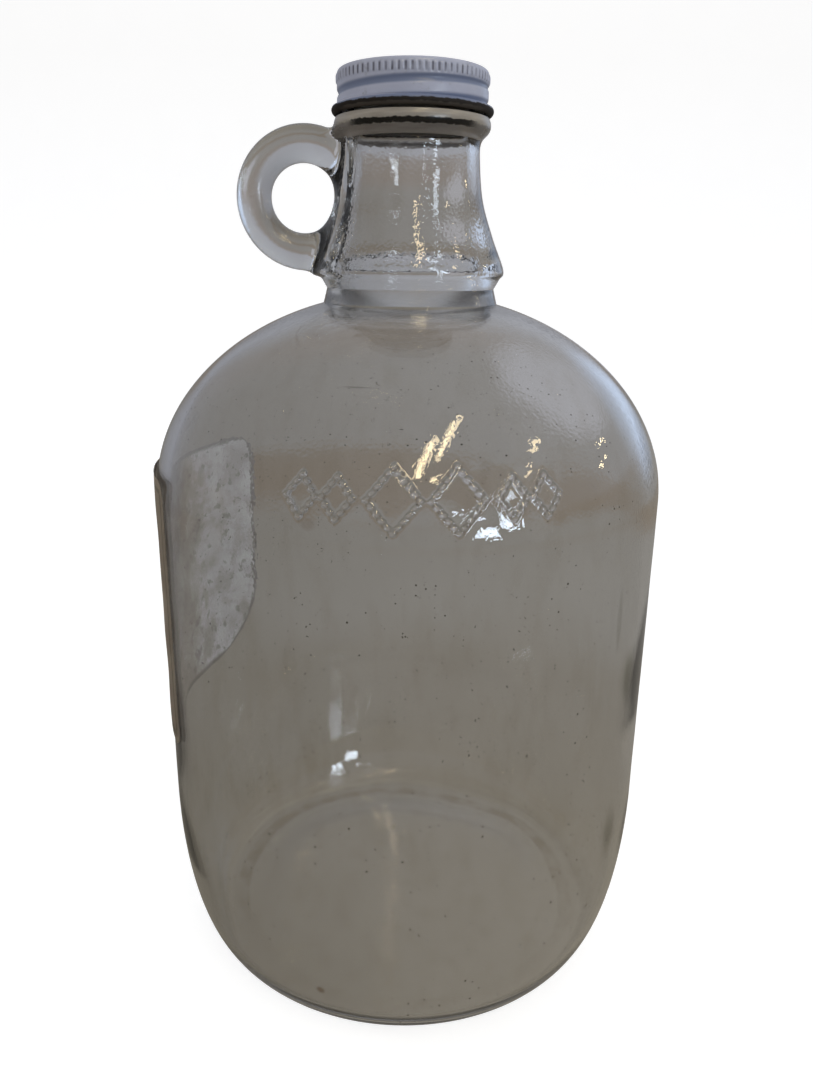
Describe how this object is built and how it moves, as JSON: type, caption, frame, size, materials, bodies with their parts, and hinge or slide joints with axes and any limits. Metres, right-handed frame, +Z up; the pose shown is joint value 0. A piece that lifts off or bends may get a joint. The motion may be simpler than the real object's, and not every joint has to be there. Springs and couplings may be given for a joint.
{
  "type": "cider jug",
  "caption": "Empty round glass jug with a domed shoulder, a moulded finger ring at the neck, a knurled metal screw cap and a worn paper label on its side.",
  "frame": {"origin": "middle of the base, on the plane that the jug stands on", "axes": "+Z up along the jug's axis, -X towards the finger ring, -Y towards the side shown in the picture"},
  "size_m": [0.1433, 0.1428, 0.2494],
  "materials": {
    "glass": "clear grey-tinted moulded glass, dusty",
    "cap": "aged pale lacquer, rusted lower edge",
    "label": "aged matte paper"
  },
  "bodies": {
    "root": {"glass_jug": "glass", "screw_cap": "cap", "paper_label": "label"}
  },
  "joints": []
}
